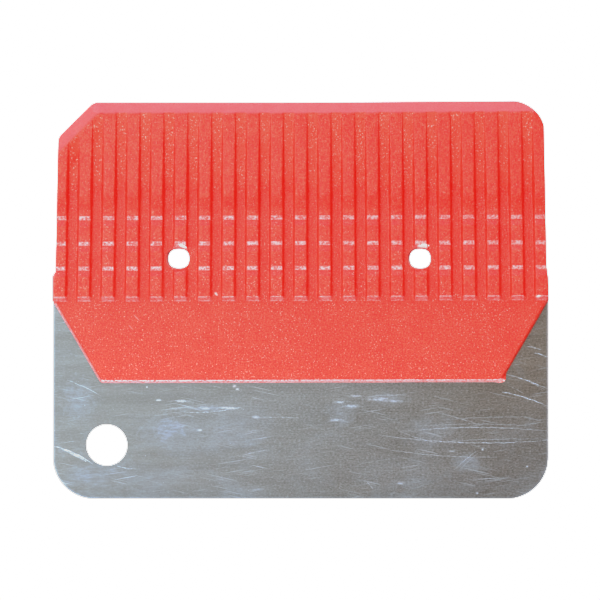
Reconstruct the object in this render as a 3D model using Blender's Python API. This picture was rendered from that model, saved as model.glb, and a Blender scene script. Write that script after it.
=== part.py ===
"""Hand scraper for ski wax: a flat steel blade with a ribbed plastic grip
moulded over its upper part.

Frame: metres, +Z up.  X runs along the blade's width, Z up from the scraping
edge to the top of the grip, Y through the thickness.  The origin is the middle
of the scraping edge, on the blade's mid-plane.  The front face looks to -Y.

Two pieces, as on the bench: the steel blank and the moulded grip.  The grip is
one moulding: its two halves meet through two hollow bosses that pass through
the blank's anchor holes, and that is what holds the blade.
"""

import math

import bmesh
import bpy
from mathutils import Matrix, Vector

MM = 0.001

# ---------------------------------------------------------------- blade (mm)
BLADE_WIDTH = 120.0
BLADE_HEIGHT = 65.0
BLADE_THICKNESS = 0.8
BLADE_CORNER_R = 10.0          # the two lower corners
BLADE_SHOULDER = 11.0          # 45 degree cut on the two hidden upper corners
HANG_HOLE_D = 10.0
HANG_HOLE_X = -47.0
HANG_HOLE_Z = 13.0
ANCHOR_X = (-29.5, 29.0)       # the two anchor holes, left and right
ANCHOR_Z = 58.2
ANCHOR_HOLE_D = 8.0

# ----------------------------------------------------------------- grip (mm)
GAP = 0.3                      # air left between moulding and steel
GRIP_FOOT_Z = 28.0             # lower edge of the apron
GRIP_SHOULDER_Z = 48.2         # where the apron's slanted ends reach the sides
GRIP_TOP_Z = 96.05
GRIP_TOP_RIGHT_Z = 96.4        # the top rises a little towards the round corner
GRIP_HALF_W = 60.2
CORNER_R = 8.2                 # round corner, upper right
CORNER_CX = 51.0
CORNER_CZ = 88.2

T_PLATEAU = 5.0                # half thickness at the palm
T_RIB = 4.3                    # half thickness on the lower ribs
T_FLOOR = 2.65                 # half thickness in the grooves
T_APRON = 2.6                  # half thickness of the apron
TOP_BEVEL = 2.72               # 45 degree bevel of the top edge
CORNER_BEVEL = 2.75            # bevel of the cut corner, in the front view
CORNER_SLOPE = 0.75            # its drop in thickness per mm
APRON_DRAFT = 0.27             # slope of the apron's edges

PLATEAU_END_Z = 73.4
LOWER_RIB_Z = 70.2
RIB_END_TOP_Z = 49.15
RIB_END_FOOT_Z = 48.15
NOTCH_Z = (68.8, 62.6, 56.6)   # upper edge of each row of notches
NOTCH_DROP = 1.1               # length of the steep face
NOTCH_RISE = 1.4               # length of the ramp below it
NOTCH_DEPTH = 0.6

GROOVE_COUNT = 20
GROOVE_PITCH = 5.795
GROOVE_REF_Z = 71.7            # height at which the pitch holds
GROOVE_FAN = 0.0003            # the ribs fan out this much per mm downwards
GROOVE_MID_HALF_W = 1.325
GROOVE_DRAFT = 0.25
GROOVE_START_Z = 93.0
GROOVE_VALLEY_Z = 74.35
GROOVE_OUT_Z = 46.0

BOSS_BORE_D = 5.2
BOSS_SINK_R = 3.7              # countersink radius at the rib tops

# ------------------------------------------------------------------- colours
STEEL_RGB = (0.33, 0.34, 0.34, 1.0)
RED_RGB = (0.80, 0.075, 0.05, 1.0)


# ------------------------------------------------------------------- helpers
def clear_scene():
    for obj in list(bpy.data.objects):
        bpy.data.objects.remove(obj, do_unlink=True)
    for coll in list(bpy.data.collections):
        bpy.data.collections.remove(coll)


def collection(name):
    coll = bpy.data.collections.new(name)
    bpy.context.scene.collection.children.link(coll)
    return coll


def material(name, rgb, roughness, metallic):
    mat = bpy.data.materials.new(name)
    mat.use_nodes = True
    bsdf = mat.node_tree.nodes["Principled BSDF"]
    bsdf.inputs["Base Color"].default_value = rgb
    bsdf.inputs["Roughness"].default_value = roughness
    bsdf.inputs["Metallic"].default_value = metallic
    mat.diffuse_color = rgb
    return mat


def fillet(corners):
    """Outline from (x, z, radius) corners, with an arc at each rounded one."""
    pts = []
    n = len(corners)
    for i, (x, z, r) in enumerate(corners):
        here = Vector((x, z))
        if r <= 0.0:
            pts.append((x, z))
            continue
        to_prev = (Vector(corners[i - 1][:2]) - here).normalized()
        to_next = (Vector(corners[(i + 1) % n][:2]) - here).normalized()
        half = to_prev.angle(to_next) / 2.0
        centre = here + (to_prev + to_next).normalized() * (r / math.sin(half))
        reach = r / math.tan(half)
        a = here + to_prev * reach - centre
        b = here + to_next * reach - centre
        start = math.atan2(a.y, a.x)
        sweep = math.atan2(b.y, b.x) - start
        sweep = (sweep + math.pi) % (2.0 * math.pi) - math.pi
        steps = max(3, int(abs(sweep) / math.radians(7.5)))
        for k in range(steps + 1):
            ang = start + sweep * k / steps
            pts.append((centre.x + r * math.cos(ang), centre.y + r * math.sin(ang)))
    return pts


def circle(cx, cz, radius, steps):
    return [(cx + radius * math.cos(2.0 * math.pi * k / steps),
             cz + radius * math.sin(2.0 * math.pi * k / steps)) for k in range(steps)]


def plate(name, outlines, half_depth, matrix, coll):
    """Flat 2D curve with holes, extruded both ways, as one closed mesh."""
    data = bpy.data.curves.new(name + "_outline", "CURVE")
    data.dimensions = "2D"
    data.fill_mode = "BOTH"
    data.extrude = half_depth * MM
    for outline in outlines:
        spline = data.splines.new("POLY")
        spline.points.add(len(outline) - 1)
        for point, (u, v) in zip(spline.points, outline):
            point.co = (u * MM, v * MM, 0.0, 1.0)
        spline.use_cyclic_u = True
    curve = bpy.data.objects.new(name + "_outline", data)
    coll.objects.link(curve)
    curve.matrix_world = matrix
    bpy.context.view_layer.update()
    graph = bpy.context.evaluated_depsgraph_get()
    mesh = bpy.data.meshes.new_from_object(curve.evaluated_get(graph))
    mesh.name = name
    bm = bmesh.new()
    bm.from_mesh(mesh)
    bmesh.ops.remove_doubles(bm, verts=bm.verts, dist=1e-6)
    bmesh.ops.recalc_face_normals(bm, faces=bm.faces)
    bm.to_mesh(mesh)
    bm.free()
    obj = bpy.data.objects.new(name, mesh)
    coll.objects.link(obj)
    obj.matrix_world = curve.matrix_world.copy()
    bpy.data.objects.remove(curve, do_unlink=True)
    return obj


def as_cutter(obj):
    obj.hide_render = True
    obj.display_type = "WIRE"
    return obj


def boolean(target, cutter, operation):
    mod = target.modifiers.new(cutter.name, "BOOLEAN")
    mod.operation = operation
    mod.solver = "EXACT"
    mod.object = cutter


# outline drawn in X and Z, extruded along Y
FRONT = Matrix(((1, 0, 0, 0), (0, 0, -1, 0), (0, 1, 0, 0), (0, 0, 0, 1)))
# outline drawn in Y and Z, extruded along X
SIDE = Matrix(((0, 0, 1, 0), (1, 0, 0, 0), (0, 1, 0, 0), (0, 0, 0, 1)))


def edge_frame(px, pz, qx, qz):
    """Frame for a section drawn across the edge P to Q of the front outline:
    first axis through the thickness, second out of the edge."""
    along = Vector((qx - px, 0.0, qz - pz)).normalized()
    out = Vector((along.z, 0.0, -along.x))
    thick = out.cross(along)
    m = Matrix.Identity(4)
    for row in range(3):
        m[row][0] = thick[row]
        m[row][1] = out[row]
        m[row][2] = along[row]
    m.translation = Vector((px, 0.0, pz)) * MM
    return m


# --------------------------------------------------------------------- blade
def build_blade(coll):
    w = BLADE_WIDTH / 2.0
    s = BLADE_SHOULDER
    outline = fillet([
        (-w, 0.0, BLADE_CORNER_R), (w, 0.0, BLADE_CORNER_R),
        (w, BLADE_HEIGHT - s, 0.0), (w - s, BLADE_HEIGHT, 0.0),
        (-w + s, BLADE_HEIGHT, 0.0), (-w, BLADE_HEIGHT - s, 0.0)])
    holes = [circle(HANG_HOLE_X, HANG_HOLE_Z, HANG_HOLE_D / 2.0, 48)]
    for x in ANCHOR_X:
        holes.append(circle(x, ANCHOR_Z, ANCHOR_HOLE_D / 2.0, 32))
    blade = plate("steel_blade", [outline] + holes, BLADE_THICKNESS / 2.0, FRONT, coll)
    blade.data.materials.append(material("steel_blade", STEEL_RGB, 0.34, 1.0))
    return blade


# ---------------------------------------------------------------------- grip
def grip_outline():
    """Front view of the moulding, anticlockwise from the lower left corner."""
    pts = fillet([
        (-48.4, GRIP_FOOT_Z - 1.0, 0.0), (48.6, GRIP_FOOT_Z - 1.0, 0.0),
        (GRIP_HALF_W, GRIP_SHOULDER_Z - 1.0, 0.0),
        (GRIP_HALF_W, 52.6, 0.0), (59.65, 56.5, 0.0), (58.95, 90.1, 0.0)])
    for k in range(1, 13):
        ang = math.radians(13.4 + (90.0 - 13.4) * k / 12.0)
        pts.append((CORNER_CX + CORNER_R * math.cos(ang), CORNER_CZ + CORNER_R * math.sin(ang)))
    pts += [(2.0, GRIP_TOP_Z), (-50.1, GRIP_TOP_Z), (-58.75, 87.5),
            (-59.4, 55.5), (-GRIP_HALF_W, 53.6), (-GRIP_HALF_W, GRIP_SHOULDER_Z - 1.0)]
    return pts


def grip_section():
    """Thickness of the moulding from its foot to its top, with the palm bevel,
    the rows of notches and the rib ends, mirrored to both faces."""
    foot = T_APRON - BLADE_THICKNESS / 2.0 - GAP
    half = [(T_APRON - foot, GRIP_FOOT_Z),
            (T_APRON, GRIP_FOOT_Z + APRON_DRAFT * foot),
            (T_APRON, RIB_END_FOOT_Z), (T_RIB, RIB_END_TOP_Z)]
    for z in reversed(NOTCH_Z):
        half += [(T_RIB, z - NOTCH_DROP - NOTCH_RISE),
                 (T_RIB - NOTCH_DEPTH, z - NOTCH_DROP), (T_RIB, z)]
    half += [(T_RIB, LOWER_RIB_Z), (T_PLATEAU, PLATEAU_END_Z),
             (T_PLATEAU, GRIP_TOP_Z - TOP_BEVEL),
             (T_PLATEAU - TOP_BEVEL - 1.0, GRIP_TOP_Z + 1.0)]
    return half + [(-y, z) for y, z in reversed(half)]


def edge_section(reach, slope, bevel_from):
    """Section for a drafted or bevelled edge, open towards the body."""
    inner = -200.0
    y0 = bevel_from - reach / slope
    y1 = bevel_from + 8.0
    return [(-y1, inner), (y1, inner), (y1, -8.0 * slope), (y0, reach),
            (-y0, reach), (-y1, -8.0 * slope)]


def groove_cutter(coll):
    """All grooves of both faces in one cutter.  Each is a loft of four
    sections: it sinks from the palm down a ramp to the valley, then runs level
    under the lower ribs, with drafted walls all the way."""
    bm = bmesh.new()
    ramp = (T_PLATEAU - T_FLOOR) / (GROOVE_START_Z - GROOVE_VALLEY_Z)
    over = 95.3
    outer = T_PLATEAU + 1.5
    stations = [
        (over, T_FLOOR + ramp * (over - GROOVE_VALLEY_Z), GROOVE_MID_HALF_W),
        (GROOVE_VALLEY_Z, T_FLOOR, GROOVE_MID_HALF_W - GROOVE_DRAFT * (T_PLATEAU - T_FLOOR) / 2.0),
        (LOWER_RIB_Z, T_FLOOR, GROOVE_MID_HALF_W - GROOVE_DRAFT * (T_RIB - T_FLOOR) / 2.0),
        (GROOVE_OUT_Z, T_FLOOR, GROOVE_MID_HALF_W - GROOVE_DRAFT * (T_RIB - T_FLOOR) / 2.0)]
    for face in (-1, 1):
        for i in range(GROOVE_COUNT):
            x0 = (i - (GROOVE_COUNT - 1) / 2.0) * GROOVE_PITCH
            rings = []
            for z, floor, half_w in stations:
                x = x0 * (1.0 + GROOVE_FAN * (GROOVE_REF_Z - z))
                wide = half_w + GROOVE_DRAFT * (outer - floor)
                ring = [(x - half_w, floor), (x + half_w, floor), (x + wide, outer), (x - wide, outer)]
                rings.append([bm.verts.new((u * MM, face * y * MM, z * MM)) for u, y in ring])
            for a, b in zip(rings, rings[1:]):
                for k in range(4):
                    bm.faces.new((a[k], a[(k + 1) % 4], b[(k + 1) % 4], b[k]))
            bm.faces.new(rings[0])
            bm.faces.new(reversed(rings[-1]))
    bmesh.ops.recalc_face_normals(bm, faces=bm.faces)
    mesh = bpy.data.meshes.new("groove_cutter")
    bm.to_mesh(mesh)
    bm.free()
    obj = bpy.data.objects.new("groove_cutter", mesh)
    coll.objects.link(obj)
    return as_cutter(obj)


def bore_cutter(coll):
    """The two pin holes through the bosses, countersunk through the ribs on
    both faces."""
    bm = bmesh.new()
    slope = (BOSS_SINK_R - BOSS_BORE_D / 2.0) / (T_RIB - T_FLOOR)
    top = T_PLATEAU + 1.5
    wide = BOSS_BORE_D / 2.0 + slope * (top - T_FLOOR)
    profile = [(top, wide), (T_FLOOR, BOSS_BORE_D / 2.0),
               (-T_FLOOR, BOSS_BORE_D / 2.0), (-top, wide)]
    steps = 32
    for middle in ANCHOR_X:
        rings = []
        for y, r in profile:
            rings.append([bm.verts.new((x * MM, y * MM, z * MM))
                          for x, z in circle(middle, ANCHOR_Z, r, steps)])
        for a, b in zip(rings, rings[1:]):
            for k in range(steps):
                bm.faces.new((a[k], a[(k + 1) % steps], b[(k + 1) % steps], b[k]))
        bm.faces.new(rings[0])
        bm.faces.new(reversed(rings[-1]))
    bmesh.ops.recalc_face_normals(bm, faces=bm.faces)
    mesh = bpy.data.meshes.new("bore_cutter")
    bm.to_mesh(mesh)
    bm.free()
    obj = bpy.data.objects.new("bore_cutter", mesh)
    coll.objects.link(obj)
    return as_cutter(obj)


def slot_cutter(coll):
    """Pocket for the blade: its outline grown by the gap, open at the foot and
    at the lower sides, with the two bosses left standing."""
    w = BLADE_WIDTH / 2.0 + GAP
    shoulder_x = BLADE_WIDTH / 2.0 - BLADE_SHOULDER + GAP * math.tan(math.radians(22.5))
    top = BLADE_HEIGHT + GAP
    drop = w - shoulder_x
    outline = [(-w, 20.0), (w, 20.0), (w, top - drop), (shoulder_x, top),
               (-shoulder_x, top), (-w, top - drop)]
    bosses = [circle(x, ANCHOR_Z, ANCHOR_HOLE_D / 2.0 - GAP, 32) for x in ANCHOR_X]
    return as_cutter(plate("slot_cutter", [outline] + bosses,
                           BLADE_THICKNESS / 2.0 + GAP, FRONT, coll))


def build_grip(coll, cutters):
    grip = plate("grip", [grip_section()], 70.0, SIDE, coll)
    boolean(grip, as_cutter(plate("outline_cutter", [grip_outline()], T_PLATEAU + 2.0,
                                  FRONT, cutters)), "INTERSECT")
    # bevel of the cut corner, then the draft of the apron's two slanted ends
    corner = edge_section(1.0, 1.0 / CORNER_SLOPE, T_PLATEAU - CORNER_SLOPE * CORNER_BEVEL)
    boolean(grip, as_cutter(plate("corner_cutter", [corner], 300.0,
                                  edge_frame(-50.1, GRIP_TOP_Z, -58.75, 87.5), cutters)), "INTERSECT")
    draft = edge_section(APRON_DRAFT * 0.6, APRON_DRAFT, BLADE_THICKNESS / 2.0 + GAP)
    boolean(grip, as_cutter(plate("apron_left_cutter", [draft], 300.0,
                                  edge_frame(-GRIP_HALF_W, GRIP_SHOULDER_Z, -48.4, GRIP_FOOT_Z),
                                  cutters)), "INTERSECT")
    boolean(grip, as_cutter(plate("apron_right_cutter", [draft], 300.0,
                                  edge_frame(48.6, GRIP_FOOT_Z, GRIP_HALF_W, GRIP_SHOULDER_Z),
                                  cutters)), "INTERSECT")
    boolean(grip, groove_cutter(cutters), "DIFFERENCE")
    boolean(grip, slot_cutter(cutters), "DIFFERENCE")
    boolean(grip, bore_cutter(cutters), "DIFFERENCE")
    grip.data.materials.append(material("grip", RED_RGB, 0.42, 0.0))
    return grip


def main():
    clear_scene()
    parts = collection("ski_wax_scraper")
    cutters = collection("cutters")
    root = bpy.data.objects.new("scraper_origin", None)
    root.empty_display_size = 0.02
    parts.objects.link(root)
    blade = build_blade(parts)
    grip = build_grip(parts, cutters)
    for obj in (blade, grip):
        keep = obj.matrix_world.copy()
        obj.parent = root
        obj.matrix_world = keep


main()
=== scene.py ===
import math

import bmesh
import bpy
import numpy as np
from mathutils import Matrix, Vector, noise


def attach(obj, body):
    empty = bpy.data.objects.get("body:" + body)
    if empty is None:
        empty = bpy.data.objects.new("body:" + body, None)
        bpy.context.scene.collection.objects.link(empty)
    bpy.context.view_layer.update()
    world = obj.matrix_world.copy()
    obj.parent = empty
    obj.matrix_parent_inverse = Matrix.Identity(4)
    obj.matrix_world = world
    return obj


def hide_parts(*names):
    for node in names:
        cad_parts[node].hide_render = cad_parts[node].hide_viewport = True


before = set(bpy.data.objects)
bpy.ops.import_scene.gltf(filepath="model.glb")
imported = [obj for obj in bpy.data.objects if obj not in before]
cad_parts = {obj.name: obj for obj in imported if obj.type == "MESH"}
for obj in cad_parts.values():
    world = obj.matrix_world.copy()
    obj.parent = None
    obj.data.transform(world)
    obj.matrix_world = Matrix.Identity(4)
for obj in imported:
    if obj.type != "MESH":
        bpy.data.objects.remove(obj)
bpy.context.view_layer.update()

# Ski wax scraper: a steel blade with a ribbed red grip moulded over its upper
# part.  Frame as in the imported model: X along the blade, Z up from the scraping
# edge, front face to -Y.  Lengths below are millimetres.
MM = 0.001

BLADE_W, BLADE_H, BLADE_T = 120.0, 65.0, 0.8
BLADE_CORNER_R, BLADE_SHOULDER = 10.0, 14.0
BLADE_EDGE = 0.09                      # rounding of the blade's edges
HANG_X, HANG_Z, HANG_R = -47.0, 13.0, 5.0
ANCHORS, ANCHOR_Z, ANCHOR_R = (-29.5, 29.0), 58.2, 4.0
BOND = 0.02                            # hair gap between steel and moulding

FOOT_Z, SHOULDER_Z = 28.0, 48.2
TOP_Z, TOP_RIGHT_Z = 96.05, 96.4
CORNER_CX, CORNER_CZ, CORNER_R = 51.0, 88.2, 8.2
T_PALM, T_RIB, T_FLOOR, T_APRON = 5.0, 4.3, 2.65, 2.6
TOP_BEVEL, CUT_BEVEL, CUT_SLOPE = 2.72, 2.75, 0.75
PALM_END_Z, LOWER_RIB_Z = 73.4, 70.2
RIB_END_TOP_Z, RIB_END_FOOT_Z = 49.15, 48.15
NOTCHES = (68.8, 62.6, 56.6)
NOTCH_DROP, NOTCH_RISE, NOTCH_DEPTH = 1.1, 1.4, 0.6
GROOVES, PITCH, MID_W, DRAFT = 20, 5.795, 1.325, 0.25
FAN, FAN_Z = 0.0003, 71.7
RAMP_TOP_Z, VALLEY_Z = 94.5, 74.35
BORES, BORE_R, SINK_R = (-29.7, 28.78), 2.5, 3.75


def at(px, py):
    """Front-view position of a pixel of the 600 x 600 photograph."""
    return (px - 300.6) / 4.123, (498.5 - py) / 4.123


# ------------------------------------------------------------ mesh utilities
def link(obj):
    bpy.context.scene.collection.objects.link(obj)
    return obj


def new_mesh(name, bm):
    mesh = bpy.data.meshes.new(name)
    bm.to_mesh(mesh)
    bm.free()
    return link(bpy.data.objects.new(name, mesh))


def bezier(a, c, b, t):
    return tuple((1 - t) ** 2 * p + 2 * t * (1 - t) * q + t * t * r for p, q, r in zip(a, c, b))


def soften(corners, steps=3):
    """Polyline of (u, v, reach) corners with each one eased over its reach."""
    out = [corners[0][:2]]
    for (pu, pv, _), (cu, cv, reach), (nu, nv, _) in zip(corners, corners[1:], corners[2:]):
        back, ahead = math.hypot(pu - cu, pv - cv), math.hypot(nu - cu, nv - cv)
        reach = min(reach, 0.45 * back, 0.45 * ahead)
        a = (cu + (pu - cu) * reach / back, cv + (pv - cv) * reach / back)
        b = (cu + (nu - cu) * reach / ahead, cv + (nv - cv) * reach / ahead)
        out += [bezier(a, (cu, cv), b, k / steps) for k in range(steps + 1)]
    return out + [corners[-1][:2]]


def circle(cx, cz, radius, steps):
    return [(cx + radius * math.cos(2 * math.pi * k / steps),
             cz + radius * math.sin(2 * math.pi * k / steps)) for k in range(steps)]


def arc_corners(corners, step_deg):
    """Outline from (x, z, radius) corners with an arc at each rounded one."""
    pts = []
    for i, (x, z, r) in enumerate(corners):
        here = Vector((x, z))
        if r <= 0:
            pts.append((x, z))
            continue
        before = (Vector(corners[i - 1][:2]) - here).normalized()
        after = (Vector(corners[(i + 1) % len(corners)][:2]) - here).normalized()
        half = before.angle(after) / 2
        centre = here + (before + after).normalized() * (r / math.sin(half))
        a = here + before * (r / math.tan(half)) - centre
        b = here + after * (r / math.tan(half)) - centre
        start = math.atan2(a.y, a.x)
        sweep = (math.atan2(b.y, b.x) - start + math.pi) % (2 * math.pi) - math.pi
        n = max(3, int(abs(math.degrees(sweep)) / step_deg))
        pts += [(centre.x + r * math.cos(start + sweep * k / n),
                 centre.y + r * math.sin(start + sweep * k / n)) for k in range(n + 1)]
    return pts


def plate(name, outlines, half, edge=0.0):
    """Flat outline with holes, extruded both ways along Y, edges rounded."""
    data = bpy.data.curves.new(name, "CURVE")
    data.dimensions = "2D"
    data.fill_mode = "BOTH"
    data.extrude = (half - edge) * MM
    data.bevel_depth = edge * MM
    data.bevel_resolution = 2
    data.offset = -edge * MM
    for outline in outlines:
        spline = data.splines.new("POLY")
        spline.points.add(len(outline) - 1)
        for point, (u, v) in zip(spline.points, outline):
            point.co = (u * MM, v * MM, 0.0, 1.0)
        spline.use_cyclic_u = True
    curve = link(bpy.data.objects.new(name + "_outline", data))
    graph = bpy.context.evaluated_depsgraph_get()
    mesh = bpy.data.meshes.new_from_object(curve.evaluated_get(graph))
    bpy.data.objects.remove(curve, do_unlink=True)
    bpy.data.curves.remove(data)
    mesh.transform(Matrix(((1, 0, 0, 0), (0, 0, -1, 0), (0, 1, 0, 0), (0, 0, 0, 1))))
    bm = bmesh.new()
    bm.from_mesh(mesh)
    bpy.data.meshes.remove(mesh)
    bmesh.ops.remove_doubles(bm, verts=bm.verts, dist=2e-6)
    bmesh.ops.recalc_face_normals(bm, faces=bm.faces)
    return new_mesh(name, bm)


def cut(target, cutter):
    """Boolean difference, applied, with the cutter removed."""
    mod = target.modifiers.new("cut", "BOOLEAN")
    mod.operation, mod.solver, mod.object = "DIFFERENCE", "EXACT", cutter
    graph = bpy.context.evaluated_depsgraph_get()
    mesh = bpy.data.meshes.new_from_object(target.evaluated_get(graph))
    target.modifiers.clear()
    old = target.data
    target.data = mesh
    bpy.data.meshes.remove(old)
    bpy.data.objects.remove(cutter, do_unlink=True)


# --------------------------------------------------------------------- blade
def build_blade():
    w, s = BLADE_W / 2, BLADE_SHOULDER
    outline = arc_corners([(-w, 0, BLADE_CORNER_R), (w, 0, BLADE_CORNER_R), (w, BLADE_H - s, 0),
                           (w - s, BLADE_H, 0), (-w + s, BLADE_H, 0), (-w, BLADE_H - s, 0)], 3.0)
    holes = [circle(HANG_X, HANG_Z, HANG_R, 96)]
    holes += [circle(x, ANCHOR_Z, ANCHOR_R, 64) for x in ANCHORS]
    blade = plate("blade", [outline] + holes, BLADE_T / 2, BLADE_EDGE)
    mesh = blade.data
    # U across the brushing, which runs along the blade's width
    uv = mesh.uv_layers.new(name="brush")
    for loop in mesh.loops:
        co = mesh.vertices[loop.vertex_index].co
        uv.data[loop.index].uv = (co.z / 0.13 + co.y * 2.0, co.x / 0.13 + 0.5)
    # the two faces stay flat right up to their rounded edges
    mesh.shade_smooth()
    flat = {}
    for poly in mesh.polygons:
        if abs(poly.normal.y) > 0.999:
            for v in poly.vertices:
                flat[v] = (0.0, math.copysign(1.0, poly.normal.y), 0.0)
    mesh.normals_split_custom_set_from_vertices(
        [flat.get(v.index, tuple(v.normal)) for v in mesh.vertices])
    return blade


# ---------------------------------------------------------------------- grip
BEVEL_IN, FLAT_IN, APRON_IN = 0.28, 0.43, 0.8
TOP_IN = BEVEL_IN + 0.02


def palm_rows():
    """(z, half thickness) up the middle of a rib, from the apron to the top."""
    corners = [(28.2, T_APRON, 0), (RIB_END_FOOT_Z, T_APRON, 0.14), (RIB_END_TOP_Z, T_RIB, 0.17)]
    for z in reversed(NOTCHES):
        corners += [(z - NOTCH_DROP - NOTCH_RISE, T_RIB, 0.2),
                    (z - NOTCH_DROP, T_RIB - NOTCH_DEPTH, 0.09), (z, T_RIB, 0.16)]
    corners += [(LOWER_RIB_Z, T_RIB, 0.6), (PALM_END_Z, T_PALM, 0.6),
                (TOP_Z - TOP_BEVEL, T_PALM, 0.3), (TOP_Z - TOP_IN, T_PALM - TOP_BEVEL + TOP_IN, 0)]
    line = soften(corners)
    zs, ts = [p[0] for p in line], [p[1] for p in line]
    rows = list(zs) + [VALLEY_Z - 0.35, VALLEY_Z, VALLEY_Z + 0.35, VALLEY_Z + 0.8, 92.3, 93.0]
    rows += [53.65, 53.85, 54.95, 55.15, 53.97, 54.17, 55.27, 55.47]
    rows += [29.2, 29.6, 30.0, 30.5, 31.0, 46.0, 47.0, 47.8, 71.5, 72.5]
    rows.sort()
    dense = [rows[0]]
    for z in rows[1:]:
        if z - dense[-1] < 0.012:
            continue
        n = max(1, math.ceil((z - dense[-1]) / 2.4))
        base = dense[-1]
        dense += [base + (z - base) * k / n for k in range(1, n + 1)]
    return [(z, float(np.interp(z, zs, ts))) for z in dense]


def groove_floor(z):
    ramp = (T_PALM - T_FLOOR) / (RAMP_TOP_Z - VALLEY_Z)
    soft, s = 0.16, z - VALLEY_Z
    return T_FLOOR + ramp * (s if s > 30 * soft else soft * math.log1p(math.exp(s / soft)))


def half_groove(top, floor, edge):
    """Section from a groove's middle to the middle of the next rib."""
    h = max(top - floor, 0.0)
    floor = top - h
    wf, wt = MID_W - DRAFT * h / 2, MID_W + DRAFT * h / 2
    norm = math.hypot(1.0, DRAFT)
    ux, ut = DRAFT / norm, 1.0 / norm
    low, high = min(0.16, 0.4 * h * norm), min(edge, 0.4 * h * norm)
    a, b = (wf - low, floor), (wf + low * ux, floor + low * ut)
    pts = [(0.0, floor), (0.6 * wf, floor), a, bezier(a, (wf, floor), b, 0.5), b,
           ((wf + wt) / 2, (floor + top) / 2)]
    a, b = (wt - high * ux, top - high * ut), (wt + high, top)
    pts += [a, bezier(a, (wt, top), b, 0.33), bezier(a, (wt, top), b, 0.67), b,
            ((b[0] + PITCH / 2) / 2, top), (PITCH / 2, top)]
    xs = [p[0] for p in pts]
    for k in range(1, 10):
        xs[k] = max(xs[k], xs[k - 1] + 0.025)
    return [(x, p[1]) for x, p in zip(xs, pts)]


EDGE = 0.22                            # easing of the moulding's outer edges
LEFT_FRONT = ((47, -59.62), (53.75, -59.62), (55.05, -59.2), (87.5, -58.54), (98, -58.33))
LEFT_MID = ((47, -60.2), (53.75, -60.2), (55.05, -59.43), (87.5, -58.77), (98, -58.56))
RIGHT_FRONT = ((47, 59.86), (52.6, 59.86), (56.5, 59.42), (90.1, 58.73), (98, 58.57))
RIGHT_MID = ((47, 60.2), (52.6, 60.2), (56.5, 59.64), (90.1, 58.94), (98, 58.8))


def along(table, z):
    return float(np.interp(z, [p[0] for p in table], [p[1] for p in table]))


def tilt(x, z):
    """The notch rows and rib ends run down slightly to the left."""
    part = float(np.interp(z, [45.5, 47.8, 70.5, 77.0], [0.0, 1.0, 1.0, 0.0]))
    return part * (-0.15 + 0.175 * min(1.0, max(-1.0, x / 53.0)))


def top_rise(x):
    return float(np.interp(x, [2.0, CORNER_CX], [0.0, TOP_RIGHT_Z - TOP_Z]))


class Line:
    """Straight run of the moulding's front outline: points, outward normal and
    how far inside it the rounding starts."""

    def __init__(self, p, q, kind, inset):
        self.p, self.kind, self.inset = Vector(p), kind, inset
        d = (Vector(q) - Vector(p)).normalized()
        self.n = Vector((d.y, -d.x))     # outward, for an anticlockwise outline

    def depth(self, x, z):
        return -((x - self.p.x) * self.n.x + (z - self.p.y) * self.n.y)


def outline_lines():
    foot_l, foot_r = (-48.4, FOOT_Z), (48.6, FOOT_Z + 0.2)
    lines = [
        Line(foot_l, foot_r, "apron", APRON_IN),
        Line(foot_r, (60.2, SHOULDER_Z), "apron", APRON_IN),
        Line((-50.1, TOP_Z), (-58.75, 87.5), "cut", BEVEL_IN),
        Line((-60.2, SHOULDER_Z), foot_l, "apron", APRON_IN)]
    # the round corner, as short tangents
    n = 22
    for k in range(n):
        ang = math.radians(15.0 + 72.0 * k / (n - 1))
        ease = min(1.0, max(0.0, (k / (n - 1) - 0.55) / 0.45))
        nx, nz = math.cos(ang), math.sin(ang)
        p = (CORNER_CX + CORNER_R * nx, CORNER_CZ + (CORNER_R - 0.01) * nz)
        lines.append(Line(p, (p[0] - nz, p[1] + nx), "flat", FLAT_IN + (BEVEL_IN - FLAT_IN) * ease))
    # small roundings where two straight runs meet
    side = Line((-58.78, 88.0), (-58.78, 87.0), "flat", FLAT_IN)
    top = Line((0.0, TOP_Z - 0.02), (-1.0, TOP_Z - 0.02), "bevel", BEVEL_IN)
    for a, b, r, kind in ((top, lines[2], 2.2, "cut"), (lines[2], side, 2.2, "cut"),
                          (lines[3], lines[0], 0.5, "apron"), (lines[0], lines[1], 1.1, "apron")):
        da, db = a.inset + r, b.inset + r
        # centre at depth da and db inside the two runs
        m = Matrix(((a.n.x, a.n.y), (b.n.x, b.n.y)))
        c = m.inverted() @ Vector((a.p.dot(a.n) - da, b.p.dot(b.n) - db))
        for f in (0.25, 0.5, 0.75):
            nrm = (a.n * (1 - f) + b.n * f).normalized()
            inset = a.inset * (1 - f) + b.inset * f
            p = c + nrm * (r + inset)
            lines.append(Line(p, (p.x - nrm.y, p.y + nrm.x), kind, inset))
    return lines


def slice_by(bm, line, depth, clear):
    p = line.p - line.n * depth
    bmesh.ops.bisect_plane(bm, geom=list(bm.verts) + list(bm.edges) + list(bm.faces), dist=1e-5,
                           plane_co=(p.x, 0.0, p.y), plane_no=(line.n.x, 0.0, line.n.y),
                           clear_outer=clear)


def smooth_min(a, b, k):
    h = max(k - abs(a - b), 0.0) / k
    return min(a, b) - h * h * k * 0.25


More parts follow.
